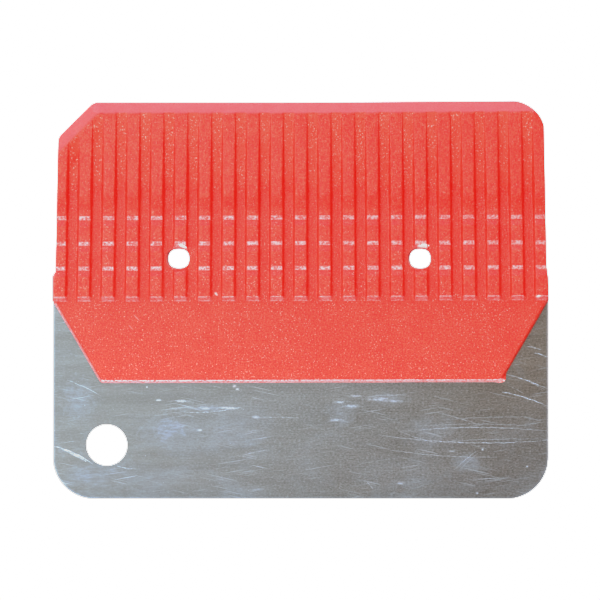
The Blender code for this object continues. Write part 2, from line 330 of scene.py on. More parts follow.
def rim(kind, total, t):
    """Rounding and wall from the start of an outer edge: (outwards, thickness)."""
    if kind in ("bevel", "cut"):
        c = (EDGE * 0.7, t - EDGE * 0.7)
        b = (c[0] + 0.02, c[1] - EDGE)
    elif kind == "flat":
        c = (EDGE, t)
        b = (EDGE + 0.02, t - EDGE)
    else:
        c = (0.2, t)
        low = BLADE_T / 2 + 0.012
        reach = 0.22
        b = (c[0] + (total - c[0]) * reach / (t - low), t - reach)
        w = ((b[0] + total) / 2, (b[1] + low) / 2)
        return [bezier((0, t), c, b, 0.33), bezier((0, t), c, b, 0.67), b, w, (total, low), (total, 0.0)]
    mid = [(b[0] + (total - b[0]) * f, b[1] * (1 - f)) for f in (0.4, 0.85)]
    return [bezier((0, t), c, b, 0.33), bezier((0, t), c, b, 0.67), b, mid[0], mid[1], (total, 0.0)]


def burr(x):
    """Thin flash squeezed out under the apron's lower right corner."""
    return max(0.0, 1.0 - ((x - 48.6) / 1.5) ** 2) ** 0.7


def build_grip():
    rows = palm_rows()
    grid = []
    for z, top in rows:
        floor = groove_floor(z)
        pts = []
        for i in range(GROOVES):
            centre = (i - (GROOVES - 1) / 2) * PITCH
            left = half_groove(top, floor, 0.15 + 0.05 * noise.noise((i * 3.1, z * 0.11, 2.0)))
            right = half_groove(top, floor, 0.15 + 0.05 * noise.noise((i * 3.1 + 1.3, z * 0.11, 7.0)))
            pts += [(centre - x, t) for x, t in left[:0:-1]]
            pts += [(centre + x, t) for x, t in (right if i == GROOVES - 1 else right[:-1])]
        scale = 1.0 + FAN * (FAN_Z - z)
        pts = [(u * scale, t) for u, t in pts]
        xl = along(LEFT_FRONT, z + tilt(-59.0, z)) + EDGE
        xr = along(RIGHT_FRONT, z + tilt(59.0, z)) - EDGE
        pts = [(xl, top), (xl + 0.35, top)] + pts + [(xr - 0.35, top), (xr, top)]
        grid.append([(x, t, z + tilt(x, z) + top_rise(x) * min(1.0, max(0.0, (z - 90.5) / 3.0)))
                     for x, t in pts])
    bm = bmesh.new()
    cols = len(grid[0])
    verts = [[bm.verts.new((x, -t, z)) for x, t, z in row] for row in grid]
    for r in range(len(grid) - 1):
        for c in range(cols - 1):
            bm.faces.new((verts[r][c], verts[r][c + 1], verts[r + 1][c + 1], verts[r + 1][c]))
    lines = outline_lines()
    corner = lines[2]
    for depth in (2.4, 2.6, 2.75, 2.9, 3.15, 5.0, 7.4):
        slice_by(bm, corner, depth, False)
    for line in lines:
        slice_by(bm, line, line.inset, True)
    bmesh.ops.remove_doubles(bm, verts=bm.verts, dist=3e-4)
    bmesh.ops.dissolve_degenerate(bm, edges=bm.edges, dist=1e-5)
    loose = [v for v in bm.verts if not v.link_faces]
    bmesh.ops.delete(bm, geom=loose, context="VERTS")
    for v in bm.verts:
        x, t, z = v.co.x, -v.co.y, v.co.z
        shallow = min(1.0, max(0.0, (7.4 - corner.depth(x, z)) / 4.6))
        if shallow > 0:
            t += (float(np.interp(z, [r[0] for r in rows], [r[1] for r in rows])) - t) * shallow
        t = smooth_min(t, T_PALM - CUT_SLOPE * (CUT_BEVEL - corner.depth(x, z)), 0.3)
        v.co.y = -t

    # the outer edge, walked once round
    edges = [e for e in bm.edges if e.is_boundary]
    nexts = {}
    for e in edges:
        loop = e.link_loops[0]
        nexts[loop.vert] = loop.link_loop_next.vert
    start = edges[0].link_loops[0].vert
    ring = [start]
    while nexts[ring[-1]] is not start:
        ring.append(nexts[ring[-1]])
    if len(ring) != len(edges):
        raise RuntimeError("the grip's outline isn't one loop: %d of %d" % (len(ring), len(edges)))
    area = sum(a.co.x * b.co.z - b.co.x * a.co.z for a, b in zip(ring, ring[1:] + ring[:1]))
    if area < 0:
        ring.reverse()
    count = len(ring)
    runs = []
    for v in ring:
        x, z = v.co.x, v.co.z
        on = [(l.kind, l.n, l.inset) for l in lines if abs(l.depth(x, z) - l.inset) < 0.004]
        xl, xr = along(LEFT_FRONT, z) + EDGE, along(RIGHT_FRONT, z) - EDGE
        if abs(x - xl) < 0.02:
            on.append(("flat", Vector((-1.0, 0.0)), xl - along(LEFT_MID, z)))
        if abs(x - xr) < 0.02:
            on.append(("flat", Vector((1.0, 0.0)), along(RIGHT_MID, z) - xr))
        if abs(z - (TOP_Z - TOP_IN + top_rise(x))) < 0.01:
            on.append(("bevel", Vector((0.0, 1.0)), BEVEL_IN))
        if not on:
            raise RuntimeError("a point of the grip's outline is on none of its runs: %.3f %.3f" % (x, z))
        pairs = [(abs(p[1].x * q[1].y - p[1].y * q[1].x), p, q) for i, p in enumerate(on) for q in on[i:]]
        runs.append(max(pairs, key=lambda pair: pair[0])[1:])
    rings = [ring]
    steps = [[] for _ in range(6)]
    for i, v in enumerate(ring):
        (ka, na, ta), (kb, nb, tb) = runs[i]
        x, t, z = v.co.x, -v.co.y, v.co.z
        pa, pb = rim(ka, ta, t), rim(kb, tb, t)
        for k in range(6):
            oa, ob = pa[k][0], pb[k][0]
            thick = (pa[k][1] + pb[k][1]) / 2
            if abs(na.x * nb.y - na.y * nb.x) < 0.02:
                move = (na + nb).normalized() * (oa + ob) / 2
            else:
                move = Matrix(((na.x, na.y), (nb.x, nb.y))).inverted() @ Vector((oa, ob))
            px, pz = x + move.x, z + move.y
            if "apron" in (ka, kb) and z < 32 and x > 44:
                b = burr(x) * (1.0 if z < 29.2 else max(0.0, 1.0 - (z - 29.2) / 1.6))
                if k >= 3:
                    out = (na + nb).normalized()
                    grow = b * (0.25 if k == 3 else 1.0)
                    px, pz = px + 0.75 * grow * max(0.0, min(1.0, (x - 46.8) / 1.2)), pz - 0.22 * grow
                    if k == 3:
                        thick = thick * (1 - 0.55 * b)
                    elif k == 4:
                        thick += 0.16 * b
            steps[k].append(bm.verts.new((px, -thick, pz)))
    rings += steps
    for a, b in zip(rings, rings[1:]):
        for i in range(count):
            j = (i + 1) % count
            bm.faces.new((a[i], a[j], b[j], b[i]))
    middle = set(rings[-1])

    # small unevenness of a moulding that has seen use
    for v in bm.verts:
        x, y, z = v.co
        v.co.x += 0.035 * noise.noise((x * 0.09, z * 0.09, 1.0))
        v.co.z += 0.035 * noise.noise((x * 0.09, z * 0.09, 5.0))
        if v not in middle:
            sag = 0.5 + 0.5 * noise.noise((x * 0.06, z * 0.07, 11.0))
            v.co.y += 0.05 * sag * min(1.0, max(0.0, (-y - 0.5) / 1.5))
    for v in bm.verts:
        v.co.x = min(max(v.co.x, -60.2), 60.2)
        v.co.z = min(v.co.z, TOP_RIGHT_Z)
        if v in middle:
            v.co.y = 0.0

    # the back half is the same
    twin = bmesh.ops.duplicate(bm, geom=list(bm.verts) + list(bm.edges) + list(bm.faces))
    back = [g for g in twin["geom"] if isinstance(g, bmesh.types.BMVert)]
    for v in back:
        v.co.y = -v.co.y
    bmesh.ops.reverse_faces(bm, faces=[g for g in twin["geom"] if isinstance(g, bmesh.types.BMFace)])
    flat = [v for v in bm.verts if abs(v.co.y) < 1e-9]
    bmesh.ops.remove_doubles(bm, verts=flat, dist=1e-5)
    bmesh.ops.scale(bm, vec=(MM, MM, MM), verts=bm.verts)
    bmesh.ops.recalc_face_normals(bm, faces=bm.faces)
    if bm.calc_volume(signed=True) < 0:
        bmesh.ops.reverse_faces(bm, faces=bm.faces)
    uncut = bm.calc_volume(signed=True)
    print("grip before cutting: %d open edges" % sum(1 for e in bm.edges if not e.is_manifold))
    grip = new_mesh("grip_moulding", bm)

    # pocket for the blade, with the two bosses left standing
    w, shoulder = BLADE_W / 2 + BOND, BLADE_W / 2 - BLADE_SHOULDER + BOND * 0.41
    high = BLADE_H + BOND
    pocket = [(-w, 20.0), (w, 20.0), (w, high - (w - shoulder)), (shoulder, high),
              (-shoulder, high), (-w, high - (w - shoulder))]
    bosses = [circle(x, ANCHOR_Z, ANCHOR_R - BOND, 64) for x in ANCHORS]
    cut(grip, plate("pocket_cutter", [pocket] + bosses, BLADE_T / 2 + 0.006))
    cut(grip, bore_cutter())

    bm = bmesh.new()
    bm.from_mesh(grip.data)
    bmesh.ops.remove_doubles(bm, verts=bm.verts, dist=1.5e-6)
    bmesh.ops.dissolve_degenerate(bm, edges=bm.edges, dist=1e-6)
    bmesh.ops.triangulate(bm, faces=[f for f in bm.faces if len(f.verts) > 4])
    open_edges = sum(1 for e in bm.edges if not e.is_manifold)
    left = bm.calc_volume(signed=True)
    print("grip: %d faces, %d open edges, %.2f of %.2f cm3 left" % (len(bm.faces), open_edges, left * 1e6, uncut * 1e6))
    if not 0.9 * uncut < left < 0.99 * uncut:
        raise RuntimeError("the pocket and bores weren't cut out of the grip")
    bm.to_mesh(grip.data)
    bm.free()
    return grip


def bore_cutter():
    """Pin holes through the bosses, countersunk through the ribs, with eased
    lips where they meet the rib tops and the groove floors."""
    half = soften([(0.0, BORE_R, 0), (0.6, BORE_R, 0.3), (T_FLOOR - 0.12, BORE_R + 0.25, 0.3),
                   (T_RIB - 0.1, SINK_R - 0.07, 0.2), (T_RIB + 0.08, SINK_R + 0.35, 0.1),
                   (T_RIB + 1.4, SINK_R + 0.9, 0)], 4)
    profile = [(-y, r) for y, r in reversed(half[1:])] + half
    bm = bmesh.new()
    steps = 96
    for middle in BORES:
        rings = []
        for y, r in profile:
            ring = []
            for k in range(steps):
                ang = 2 * math.pi * k / steps
                # slightly squared in plan, and a little wider than high
                c, d = math.cos(ang), math.sin(ang)
                sq = (abs(c) ** 2.5 + abs(d) ** 2.5) ** -0.4
                lean = 0.22 * max(0.0, 1.0 - abs(y) / T_FLOOR)
                ring.append(bm.verts.new(((middle + lean + r * sq * 1.02 * c) * MM, y * MM,
                                          (ANCHOR_Z + r * sq * 0.935 * d) * MM)))
            rings.append(ring)
        for a, b in zip(rings, rings[1:]):
            for k in range(steps):
                j = (k + 1) % steps
                bm.faces.new((a[k], a[j], b[j], b[k]))
        bm.faces.new(rings[0])
        bm.faces.new(reversed(rings[-1]))
    bmesh.ops.recalc_face_normals(bm, faces=bm.faces)
    return new_mesh("bore_cutter", bm)


def mark_grip(grip):
    """Where the moulding is worn, where light and shade are painted and where
    its grain is coarse: edges stand out, the steep faces of notches and rib ends
    and the apron's lower and left edges get painted highlights, and the groove
    floors keep the mould's coarse texture."""
    mesh = grip.data
    bm = bmesh.new()
    bm.from_mesh(mesh)
    bm.normal_update()
    edge = np.zeros(len(bm.verts), np.float32)
    for e in bm.edges:
        if len(e.link_faces) == 2:
            bend = e.calc_face_angle_signed(0.0)
            for v in e.verts:
                edge[v.index] = max(edge[v.index], min(1.0, max(0.0, bend) / 0.5))
    highlight_faces = np.zeros(len(bm.verts), np.float32)
    floor = np.zeros(len(bm.verts), np.float32)
    bore_shade = np.zeros(len(bm.verts), np.float32)
    ramp = np.zeros(len(bm.verts), np.float32)
    smooth_and_sheen = np.zeros(len(bm.verts), np.float32)
    for v in bm.verts:
        x, t, z = v.co.x / MM, abs(v.co.y) / MM, v.co.z / MM
        # up-facing faces near the top: a smoother grain, and a painted sheen
        if z > 84.0:
            smooth_and_sheen[v.index] = min(1.0, max(0.0, (v.normal.z - 0.12) / 0.2))
        # groove ramps tilted slightly down: paler crests and more painted glints
        if -0.3 < v.normal.z < -0.04 and abs(v.normal.y) > 0.9 and z > VALLEY_Z:
            ramp[v.index] = min(1.0, (z - VALLEY_Z) / 2.5)
        z -= tilt(x, z)
        # painted highlights: down-facing notch faces and rib ends, the apron's lower edge, and its left slanted edge
        if t > 2.75 and 50.5 < z < 69.6:
            highlight_faces[v.index] = min(1.0, max(0.0, (-v.normal.z - 0.28) / 0.14))
        elif t > 2.55 and 47.8 < z < 49.9 and -v.normal.z > 0.1:
            u = x / (1.0 + FAN * (FAN_Z - z))
            if -1.45 < u - PITCH * round(u / PITCH) < 1.75:
                near = min(abs(z - RIB_END_TOP_Z) / 0.22, abs(z - RIB_END_FOOT_Z - 0.12) / 0.2)
                highlight_faces[v.index] = max(0.15, min(1.0, max(0.0, 1.3 - near)))
        elif z < 29.1 and -v.normal.z > 0.3 and t > 0.38 and -48.2 < x < 50.0:
            highlight_faces[v.index] = 2.4
        elif z < 47.5 and v.normal.x < -0.35 and 0.38 < t < 1.7 and x < -47.5:
            highlight_faces[v.index] = 1.15
        # painted shade on the bores' walls
        if t < T_FLOOR - 0.2 and min(math.hypot(x - m, z - ANCHOR_Z) for m in BORES) < 3.1:
            bore_shade[v.index] = 1.0
        if 47.0 < z < 92.6 and t < T_RIB - 0.4:
            floor[v.index] = 1.0 if abs(t - groove_floor(z)) < 0.25 else 0.0
        elif 73.0 < z < 92.6 and abs(t - groove_floor(z)) < 0.12:
            floor[v.index] = 1.0
    bm.free()
    for name, values in (("edge", edge), ("highlight_faces", highlight_faces), ("floor", floor), ("bore_shade", bore_shade), ("ramp", ramp),
                         ("smooth_and_sheen", smooth_and_sheen)):
        layer = mesh.attributes.new(name, "FLOAT", "POINT")
        layer.data.foreach_set("value", values)


# ----------------------------------------------------------------- materials
class Nodes:
    """Short hand for building a node tree."""

    def __init__(self, tree):
        self.tree = tree

    def add(self, kind, **settings):
        node = self.tree.nodes.new(kind)
        for name, value in settings.items():
            setattr(node, name, value)
        return node

    def put(self, socket, value):
        if isinstance(value, bpy.types.NodeSocket):
            self.tree.links.new(value, socket)
        else:
            socket.default_value = value

    def math(self, op, a, b=0.0, clamp=False):
        node = self.add("ShaderNodeMath", operation=op, use_clamp=clamp)
        self.put(node.inputs[0], a)
        self.put(node.inputs[1], b)
        return node.outputs[0]

    def vec(self, op, a, b=None, scale=None):
        node = self.add("ShaderNodeVectorMath", operation=op)
        self.put(node.inputs[0], a)
        if b is not None:
            self.put(node.inputs[1], b)
        if scale is not None:
            self.put(node.inputs["Scale"], scale)
        return node.outputs["Value"] if op in ("DOT_PRODUCT", "LENGTH", "DISTANCE") else node.outputs[0]

    def noise(self, vector, scale, detail=2.0, rough=0.5, warp=0.0):
        node = self.add("ShaderNodeTexNoise")
        self.put(node.inputs["Vector"], vector)
        node.inputs["Scale"].default_value = scale
        node.inputs["Detail"].default_value = detail
        node.inputs["Roughness"].default_value = rough
        node.inputs["Distortion"].default_value = warp
        return node.outputs["Fac"]

    def cells(self, vector, scale, feature="F1"):
        node = self.add("ShaderNodeTexVoronoi", feature=feature)
        self.put(node.inputs["Vector"], vector)
        node.inputs["Scale"].default_value = scale
        return node.outputs["Distance"]

    def span(self, value, a, b, c=0.0, d=1.0, smooth=True):
        node = self.add("ShaderNodeMapRange", interpolation_type="SMOOTHSTEP" if smooth else "LINEAR")
        node.clamp = True
        self.put(node.inputs["Value"], value)
        for name, x in (("From Min", a), ("From Max", b), ("To Min", c), ("To Max", d)):
            self.put(node.inputs[name], x)
        return node.outputs["Result"]

    def mix(self, fac, a, b, blend="MIX"):
        node = self.add("ShaderNodeMix", data_type="RGBA", blend_type=blend)
        self.put(node.inputs["Factor"], fac)
        self.put(node.inputs["A"] if False else node.inputs[6], a)
        self.put(node.inputs[7], b)
        return node.outputs[2]

    def attr(self, name):
        return self.add("ShaderNodeAttribute", attribute_name=name).outputs["Fac"]

    def place(self):
        """Position on the piece in millimetres."""
        coord = self.add("ShaderNodeTexCoord")
        return self.vec("SCALE", coord.outputs["Object"], scale=1000.0)

    def stretch(self, vector, xyz):
        return self.vec("MULTIPLY", vector, xyz)

    def bump(self, height, distance, strength=1.0, normal=None):
        node = self.add("ShaderNodeBump")
        node.inputs["Strength"].default_value = strength
        node.inputs["Distance"].default_value = distance
        self.put(node.inputs["Height"], height)
        if normal is not None:
            self.put(node.inputs["Normal"], normal)
        return node.outputs["Normal"]


def new_material(name):
    mat = bpy.data.materials.new(name)
    mat.use_nodes = True
    n = Nodes(mat.node_tree)
    return mat, n, mat.node_tree.nodes["Principled BSDF"]


# place in pixels of the photograph, half width and half height in mm, turn; the first and third are painted glints at
# the bores' upper rims, the rest chips of wax and short scratches
CHIPS_AND_GLINTS = (((183.3, 246.4), 1.05, 0.42, -0.45, 0.85), ((216.4, 293.8), 0.6, 0.34, -0.9, 0.5),
         ((423.3, 246.2), 1.6, 0.52, 0.1, 0.95), ((538.0, 296.2), 0.7, 0.35, 0.3, 0.65),
         ((136.8, 317.6), 1.0, 0.16, -0.8, 0.16), ((131.2, 327.3), 0.85, 0.15, -0.8, 0.13))


def red_plastic():
    """Satin red polypropylene with the grain of a spark-eroded mould."""
    mat, n, bsdf = new_material("red_plastic")
    p = n.place()
    split = n.add("ShaderNodeSeparateXYZ")
    n.put(split.inputs[0], p)
    edge, highlight_faces, floor, smooth_and_sheen = n.attr("edge"), n.attr("highlight_faces"), n.attr("floor"), n.attr("smooth_and_sheen")
    # grain
    fine = n.noise(p, 2.7, 1.6, 0.6)
    pits = n.cells(p, 2.9, "SMOOTH_F1")
    grain = n.math("ADD", n.math("MULTIPLY", fine, 0.75), n.math("MULTIPLY", pits, 0.35))
    depth = n.math("ADD", 0.75, n.math("MULTIPLY", floor, 0.5))
    depth = n.math("ADD", depth, n.math("MULTIPLY", highlight_faces, 0.6))
    height = n.math("MULTIPLY", grain, depth)
    n.put(bsdf.inputs["Normal"], n.bump(height, 0.00012, 1.0))
    # colour: the grain's crests are paler, over a slow mottling
    mottle = n.span(n.noise(p, 0.22, 3.0, 0.6), 0.3, 0.7)
    base = n.mix(mottle, (0.82, 0.006, 0.0015, 1), (0.85, 0.012, 0.0035, 1))
    crest = n.mix(mottle, (0.88, 0.053, 0.022, 1), (0.90, 0.074, 0.037, 1))
    ramp = n.attr("ramp")
    # the bevels round the top came out of a smoother part of the mould
    grainy = n.math("SUBTRACT", 1.0, smooth_and_sheen)
    # painted glints are denser on the apron and on the down-tilted ramps than on the palm's ribs
    glint_density = n.math("ADD", n.span(split.outputs[2], 46.0, 75.0, 1.12, 0.72), n.math("MULTIPLY", ramp, 0.9))
    level = n.math("ADD", 0.53, n.math("MULTIPLY", n.math("SUBTRACT", fine, 0.53), n.math("ADD", 0.35, n.math("MULTIPLY", grainy, 0.65))))
    # painted highlight: the ramps' crests paler
    base = n.mix(n.span(n.math("ADD", level, n.math("MULTIPLY", ramp, 0.15)), 0.36, 0.70), base, crest)
    # painted glints: sparse pale dots on the grain
    dots = n.cells(n.vec("ADD", p, (4.0, 2.0, 8.0)), 1.5)
    sown = n.span(n.noise(p, 0.8, 2.0, 0.6), 0.42, 0.62, 0.05, 0.5)
    sown = n.math("MULTIPLY", sown, n.math("MULTIPLY", grainy, glint_density))
    base = n.mix(n.math("MULTIPLY", n.span(dots, 0.24, 0.12), sown), base, (0.94, 0.48, 0.40, 1))
    # painted glints: pale flecks on the grain
    glint_fleck = n.noise(n.vec("ADD", p, (7.0, 3.0, 1.0)), 2.6, 1.0, 0.5)
    patch = n.span(n.noise(p, 0.12, 2.0, 0.5), 0.35, 0.7, 0.35, 1.0)
    specks = n.math("MULTIPLY", n.span(glint_fleck, 0.64, 0.72), n.math("MULTIPLY", patch, grainy))
    specks = n.math("MULTIPLY", specks, n.math("ADD", 0.55, n.math("MULTIPLY", floor, 0.2)))
    specks = n.math("MULTIPLY", specks, glint_density, clamp=True)
    base = n.mix(specks, base, (0.93, 0.42, 0.36, 1))
    # painted sheen: the up-facing bevels round the top turned pinker
    base = n.mix(n.math("MULTIPLY", smooth_and_sheen, 0.16), base, (0.55, 0.12, 0.16, 1))
    # painted highlights on the notch faces, rib ends and the apron's lower and left edges, broken up by rubbed patches
    rub = n.span(n.noise(n.vec("ADD", p, (1.0, 9.0, 4.0)), 1.9, 2.0, 0.65), 0.36, 0.60)
    painted_highlight = n.math("MULTIPLY", highlight_faces, n.math("ADD", 0.09, n.math("MULTIPLY", rub, 0.51)), clamp=True)
    # the painted highlight runs along the rib ends' top and foot, less between
    level_z = n.math("SUBTRACT", n.math("ADD", split.outputs[2], 0.15), n.math("MULTIPLY", split.outputs[0], 0.0033))
    between = n.span(n.math("ABSOLUTE", n.math("SUBTRACT", level_z, (RIB_END_TOP_Z + RIB_END_FOOT_Z) / 2)), 0.40, 0.22, 0.0, 0.5)
    painted_highlight = n.math("MULTIPLY", painted_highlight, n.math("SUBTRACT", 1.0, between))
    base = n.mix(n.math("MINIMUM", painted_highlight, 0.87), base, (0.99, 0.65, 0.69, 1))
    # chips of hardened wax and short scratches on the front, and painted glints at the bores' upper rims
    for spot, wide, high, turn, strength in CHIPS_AND_GLINTS:
        cx, cz = at(*spot)
        rot = n.add("ShaderNodeVectorRotate", rotation_type="Y_AXIS")
        n.put(rot.inputs["Vector"], n.vec("SUBTRACT", p, (cx, -4.0, cz)))
        rot.inputs["Angle"].default_value = turn
        off = n.vec("LENGTH", n.stretch(rot.outputs[0], (1.0 / wide, 0.25, 1.0 / high)))
        off = n.math("ADD", off, n.math("MULTIPLY", n.math("SUBTRACT", fine, 0.5), 1.4))
        base = n.mix(n.span(off, 1.15, 0.75, 0.0, strength), base, (0.95, 0.76, 0.76, 1))
    worn = n.math("MULTIPLY", n.span(edge, 0.45, 1.0), n.span(rub, 0.35, 1.0, 0.0, 0.08))
    base = n.mix(worn, base, (0.92, 0.33, 0.29, 1))
    # painted shade: the bores' walls darkened
    base = n.mix(n.math("MULTIPLY", n.attr("bore_shade"), 0.4), base, (0.40, 0.004, 0.002, 1))
    n.put(bsdf.inputs["Base Color"], base)
    gloss = n.span(n.noise(p, 0.5, 2.0, 0.5), 0.3, 0.7, 0.38, 0.47)
    n.put(bsdf.inputs["Roughness"], n.math("ADD", gloss, n.math("MULTIPLY", specks, 0.12)))
    bsdf.inputs["IOR"].default_value = 1.48
    return mat


def scratch_group():
    """Distance mask of one shallow, slightly bowed scratch in the X Z plane."""
    tree = bpy.data.node_groups.new("scratch", "ShaderNodeTree")
    face = tree.interface
    face.new_socket("Place", in_out="INPUT", socket_type="NodeSocketVector")
    face.new_socket("From", in_out="INPUT", socket_type="NodeSocketVector")
    face.new_socket("To", in_out="INPUT", socket_type="NodeSocketVector")
    face.new_socket("Bow", in_out="INPUT", socket_type="NodeSocketFloat")
    face.new_socket("Half", in_out="INPUT", socket_type="NodeSocketFloat")
    face.new_socket("Mask", in_out="OUTPUT", socket_type="NodeSocketFloat")
    n = Nodes(tree)
    gi, go = n.add("NodeGroupInput"), n.add("NodeGroupOutput")
    ab = n.vec("SUBTRACT", gi.outputs["To"], gi.outputs["From"])
    ap = n.vec("SUBTRACT", gi.outputs["Place"], gi.outputs["From"])
    t = n.math("DIVIDE", n.vec("DOT_PRODUCT", ap, ab), n.vec("DOT_PRODUCT", ab, ab), clamp=True)
    hump = n.math("MULTIPLY", n.math("MULTIPLY", t, n.math("SUBTRACT", 1.0, t)), 4.0)
    side = n.vec("CROSS_PRODUCT", n.vec("NORMALIZE", ab), (0.0, 1.0, 0.0))
    near = n.vec("ADD", n.vec("SCALE", ab, scale=t),
                 n.vec("SCALE", side, scale=n.math("MULTIPLY", hump, gi.outputs["Bow"])))
    dist = n.vec("DISTANCE", ap, near)
    wide = n.math("MULTIPLY", gi.outputs["Half"], n.math("ADD", 0.3, n.math("MULTIPLY", hump, 0.7)))
    n.put(go.inputs["Mask"], n.span(n.math("DIVIDE", dist, wide), 1.0, 0.25))
    return tree


# (from, to) in pixels of the photograph, bow in mm, half width in mm, strength
SCRATCHES = (
    ((54, 446), (93, 464), 0.5, 0.26, 1.0), ((117, 466), (138, 469), -0.2, 0.2, 0.7),
    ((67, 380), (101, 396), 0.3, 0.16, 0.5), ((183, 412), (242, 407), -0.5, 0.17, 0.6),
    ((252, 418), (299, 418), 0.2, 0.16, 0.55), ((238, 457), (270, 450), 0.3, 0.15, 0.5),
    ((408, 431), (547, 431), 0.9, 0.17, 0.75), ((380, 435), (549, 440), -1.2, 0.17, 0.8),
    ((380, 448), (497, 457), -0.7, 0.16, 0.65), ((416, 426), (532, 426), 0.5, 0.14, 0.55),
    ((472, 480), (511, 478), 0.2, 0.16, 0.7), ((454, 470), (476, 451), 0.1, 0.16, 0.8),
    ((458, 471), (479, 452), 0.1, 0.12, 0.5), ((502, 392), (547, 406), 0.4, 0.23, 1.0),
    ((506, 374), (546, 388), 0.2, 0.21, 1.0), ((507, 385), (523, 393), 0.1, 0.13, 0.6),
    ((505, 393), (530, 399), 0.2, 0.14, 0.7), ((527, 346), (541, 350), 0.1, 0.21, 1.0),
    ((534, 353), (548, 357), 0.1, 0.2, 1.0), ((525, 380), (545, 390), 0.1, 0.12, 0.6),
    ((366, 481), (373, 489), 0.1, 0.15, 0.7), ((365, 397), (406, 395), 0.2, 0.3, 0.5),
    ((62, 449), (86, 461), 0.2, 0.5, 0.7), ((436, 412), (485, 427), 0.2, 0.15, 0.7),
    ((444, 420), (531, 417), 0.3, 0.14, 0.5), ((440, 442), (548, 439), 0.3, 0.14, 0.6),
    ((398, 430), (437, 443), -0.3, 0.14, 0.6))
# hazy patches: centre in pixels, half width and half height in mm, strength
HAZES = (
    ((170, 430), 8.0, 4.6, 0.9), ((340, 413), 4.2, 4.2, 0.6), ((385, 398), 7.0, 2.4, 0.5),
    ((404, 495), 5.5, 1.6, 0.6), ((80, 400), 6.0, 7.0, 0.5), ((262, 452), 6.0, 2.6, 0.3),
    ((430, 432), 8.5, 5.5, 0.5), ((128, 476), 5.0, 3.0, 0.3), ((467, 464), 4.6, 3.2, 0.8),
    ((415, 482), 9.0, 3.2, 0.5), ((212, 408), 7.0, 1.2, 0.7))


# smears and specks: place in pixels, half width and half height in mm
SMEARS = (
    ((234.5, 386.0), 0.45, 0.3), ((237.5, 389.0), 0.4, 0.25), ((147.0, 387.0), 0.22, 0.18),
    ((159.0, 400.0), 0.9, 0.22), ((182.0, 401.0), 1.7, 0.22), ((205.0, 408.0), 1.1, 0.3),
    ((228.0, 408.0), 2.4, 0.25), ((256.0, 417.0), 0.8, 0.3), ((200.0, 430.0), 0.7, 0.2),
    ((482.6, 449.4), 0.28, 0.28), ((527.0, 466.4), 0.24, 0.22), ((477.0, 493.0), 0.3, 0.24),
    ((400.6, 483.0), 0.8, 0.3), ((340.0, 402.0), 1.2, 0.25), ((352.0, 406.0), 1.8, 0.3),
    ((379.0, 399.0), 2.8, 0.35), ((394.0, 401.0), 2.0, 0.22), ((356.0, 396.0), 1.5, 0.22),
    ((336.0, 420.0), 1.4, 0.25), ((452.0, 451.0), 0.8, 0.2))


